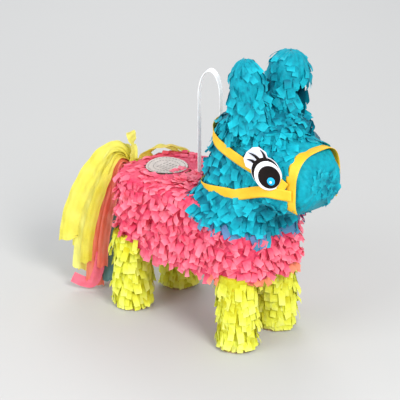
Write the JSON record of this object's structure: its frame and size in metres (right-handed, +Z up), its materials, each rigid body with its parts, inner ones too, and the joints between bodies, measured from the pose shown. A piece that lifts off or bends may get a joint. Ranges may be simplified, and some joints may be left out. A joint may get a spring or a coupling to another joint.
{
  "type": "donkey pinata",
  "caption": "Small standing donkey pinata of card and fringed tissue paper with a streamer tail, paper bridle, hanging strap and a fill flap in its back.",
  "frame": {"origin": "on the floor, midway between the front of the nose and the back of the tail, on the middle plane", "axes": "+Z up, -Y towards the nose, +X towards the donkey's left side"},
  "size_m": [0.121, 0.319, 0.3134],
  "materials": {
    "card": "matte grey-brown chipboard",
    "tissue_pink": "matte crinkled tissue fringe",
    "tissue_turquoise": "matte crinkled tissue fringe",
    "tissue_yellow": "matte crinkled tissue fringe",
    "crepe_yellow": "matte translucent crepe",
    "crepe_coral": "matte translucent crepe",
    "crepe_teal": "matte translucent crepe",
    "tape_gold": "matte golden paper tape",
    "sticker_print": "satin printed sticker",
    "strap_white": "white woven plastic strap",
    "label_silver": "satin silver-grey sticker"
  },
  "bodies": {
    "donkey": {"torso_wall": "card", "back_panel": "card", "belly_panel": "card", "strap_anchor": "card", "neck_wall": "card", "crown_panel": "card", "muzzle_shell": "card", "ear_former_right": "card", "ear_former_left": "card", "leg_tube_front_right": "card", "leg_tube_front_left": "card", "leg_tube_rear_right": "card", "leg_tube_rear_left": "card", "foot_disc_front_right": "card", "foot_disc_front_left": "card", "foot_disc_rear_right": "card", "foot_disc_rear_left": "card", "body_fringe": "tissue_pink", "neck_fringe": "tissue_turquoise", "muzzle_wrap": "tissue_turquoise", "ear_fringe_right": "tissue_turquoise", "ear_fringe_left": "tissue_turquoise", "leg_fringe_front_right": "tissue_yellow", "leg_fringe_front_left": "tissue_yellow", "leg_fringe_rear_right": "tissue_yellow", "leg_fringe_rear_left": "tissue_yellow", "noseband": "tape_gold", "crown_strap": "tape_gold", "throat_strap": "tape_gold", "eye_right": "sticker_print", "eye_left": "sticker_print"},
    "strap": {"hanging_strap": "strap_white"},
    "flap": {"fill_flap": "card", "fill_label": "label_silver"},
    "tail": {"tail_root": "crepe_yellow", "tail_yellow": "crepe_yellow", "tail_coral": "crepe_coral", "tail_teal": "crepe_teal"}
  },
  "joints": [
    {"name": "strap_swing", "type": "hinge", "parent": "donkey", "child": "strap", "pos_m": [0.011, 0.006, 0.1548], "axis": [-0.4226, 0.9063, 0], "range_deg": [-4, 40], "stiffness_Nm_per_rad": 0.012},
    {"name": "flap_hinge", "type": "hinge", "parent": "donkey", "child": "flap", "pos_m": [0, 0.034, 0.1541], "axis": [1, 0, 0], "range_deg": [0, 90]},
    {"name": "tail_swing", "type": "hinge", "parent": "donkey", "child": "tail", "pos_m": [0, 0.1066, 0.154], "axis": [1, 0, 0], "range_deg": [0, 50]}
  ]
}
